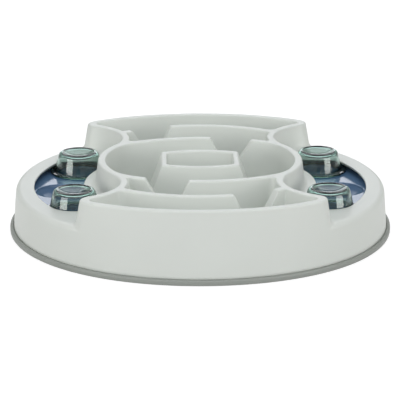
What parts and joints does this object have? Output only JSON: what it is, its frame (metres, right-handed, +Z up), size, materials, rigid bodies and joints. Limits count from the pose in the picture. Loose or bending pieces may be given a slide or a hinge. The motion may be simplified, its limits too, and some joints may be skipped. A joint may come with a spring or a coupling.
{
  "type": "dog puzzle feeder",
  "caption": "Round slow-feeding dog bowl: a walled maze round a raised island, and curved side tracks where clear cups slide over treat hollows, on a soft non-slip ring.",
  "frame": {"origin": "centre of the foot, on the surface the feeder stands on", "axes": "+Z up, the shortest extent; the pictured front faces -Y and a cup track lies on each X side"},
  "size_m": [0.3012, 0.3012, 0.0546],
  "materials": {
    "body": "satin, pale grey",
    "ring": "matt, mid grey",
    "tray": "glossy, slate blue",
    "cup": "clear, smoky teal, polished",
    "screw": "zinc plated"
  },
  "bodies": {
    "feeder": {"feeder_body": "body", "non_slip_ring": "ring", "left_tray": "tray", "right_tray": "tray", "left_tray_screw_1": "screw", "left_tray_screw_2": "screw", "left_tray_screw_3": "screw", "left_tray_screw_4": "screw", "left_tray_screw_5": "screw", "left_tray_screw_6": "screw", "right_tray_screw_1": "screw", "right_tray_screw_2": "screw", "right_tray_screw_3": "screw", "right_tray_screw_4": "screw", "right_tray_screw_5": "screw", "right_tray_screw_6": "screw"},
    "cup_front_left_slider": {"cup_front_left": "cup"},
    "cup_back_left_slider": {"cup_back_left": "cup"},
    "cup_front_right_slider": {"cup_front_right": "cup"},
    "cup_back_right_slider": {"cup_back_right": "cup"}
  },
  "joints": [
    {"name": "cup_front_left_track", "type": "hinge", "parent": "feeder", "child": "cup_front_left_slider", "pos_m": [0, 0, 0], "axis": [0, 0, 1], "range_deg": [-16.7, 0.6]},
    {"name": "cup_back_left_track", "type": "hinge", "parent": "feeder", "child": "cup_back_left_slider", "pos_m": [0, 0, 0], "axis": [0, 0, 1], "range_deg": [-0.6, 16.7]},
    {"name": "cup_front_right_track", "type": "hinge", "parent": "feeder", "child": "cup_front_right_slider", "pos_m": [0, 0, 0], "axis": [0, 0, 1], "range_deg": [-0.6, 16.7]},
    {"name": "cup_back_right_track", "type": "hinge", "parent": "feeder", "child": "cup_back_right_slider", "pos_m": [0, 0, 0], "axis": [0, 0, 1], "range_deg": [-16.7, 0.6]}
  ]
}
